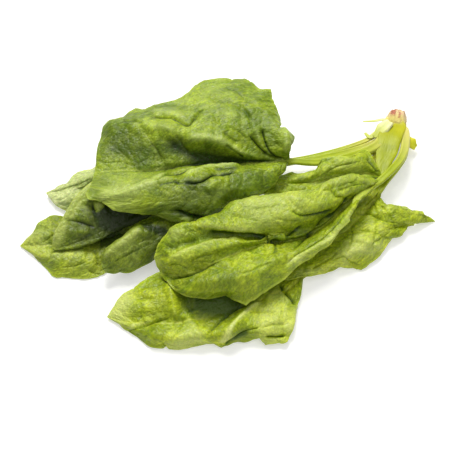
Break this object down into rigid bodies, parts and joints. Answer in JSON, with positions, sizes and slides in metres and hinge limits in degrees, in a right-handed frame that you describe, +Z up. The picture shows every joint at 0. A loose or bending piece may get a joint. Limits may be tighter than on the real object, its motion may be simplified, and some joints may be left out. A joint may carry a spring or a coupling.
{
  "type": "spinach bunch",
  "caption": "Bunch of fresh spinach lying on its side: puckered green leaves on long pale stalks that meet in one root crown.",
  "frame": {"origin": "centre of the bunch's footprint, on the surface it lies on", "axes": "+X along the bunch's long way, with the root crown at the +X, +Y corner and the leaf tips towards -X; +Z up, the short way, through the pile of leaves"},
  "size_m": [0.2736, 0.1942, 0.0434],
  "materials": {
    "leaf_dark": "thin living leaf, deep green, puckered, waxy half gloss",
    "leaf_mid": "thin living leaf, yellow green, puckered, waxy half gloss",
    "leaf_pale": "underside of a thin leaf, pale green, matt",
    "stalk": "fleshy ribbed leaf stalk, pale yellow green, smooth and moist",
    "stub": "broken leaf stalk, whitish green, limp",
    "root_crown": "cut root crown, cream with a pink tinge, matt"
  },
  "bodies": {
    "root": {"root_crown": "root_crown", "blade_top_broad": "leaf_dark", "stalk_top_broad": "stalk", "blade_front_long": "leaf_mid", "stalk_front_long": "stalk", "blade_centre_small": "leaf_mid", "stalk_centre_small": "stalk", "blade_right_lobed": "leaf_mid", "stalk_right_lobed": "stalk", "blade_front_low": "leaf_mid", "stalk_front_low": "stalk", "blade_back_pale": "leaf_pale", "stalk_back_pale": "stalk", "blade_far_left": "leaf_dark", "stalk_far_left": "stalk", "blade_left_rounded": "leaf_dark", "stalk_left_rounded": "stalk", "blade_left_folded": "leaf_dark", "stalk_left_folded": "stalk", "stub_thin": "stub", "stub_pale_upper": "stub", "stub_pale_lower": "stub", "stub_crumpled": "stub"}
  },
  "joints": []
}
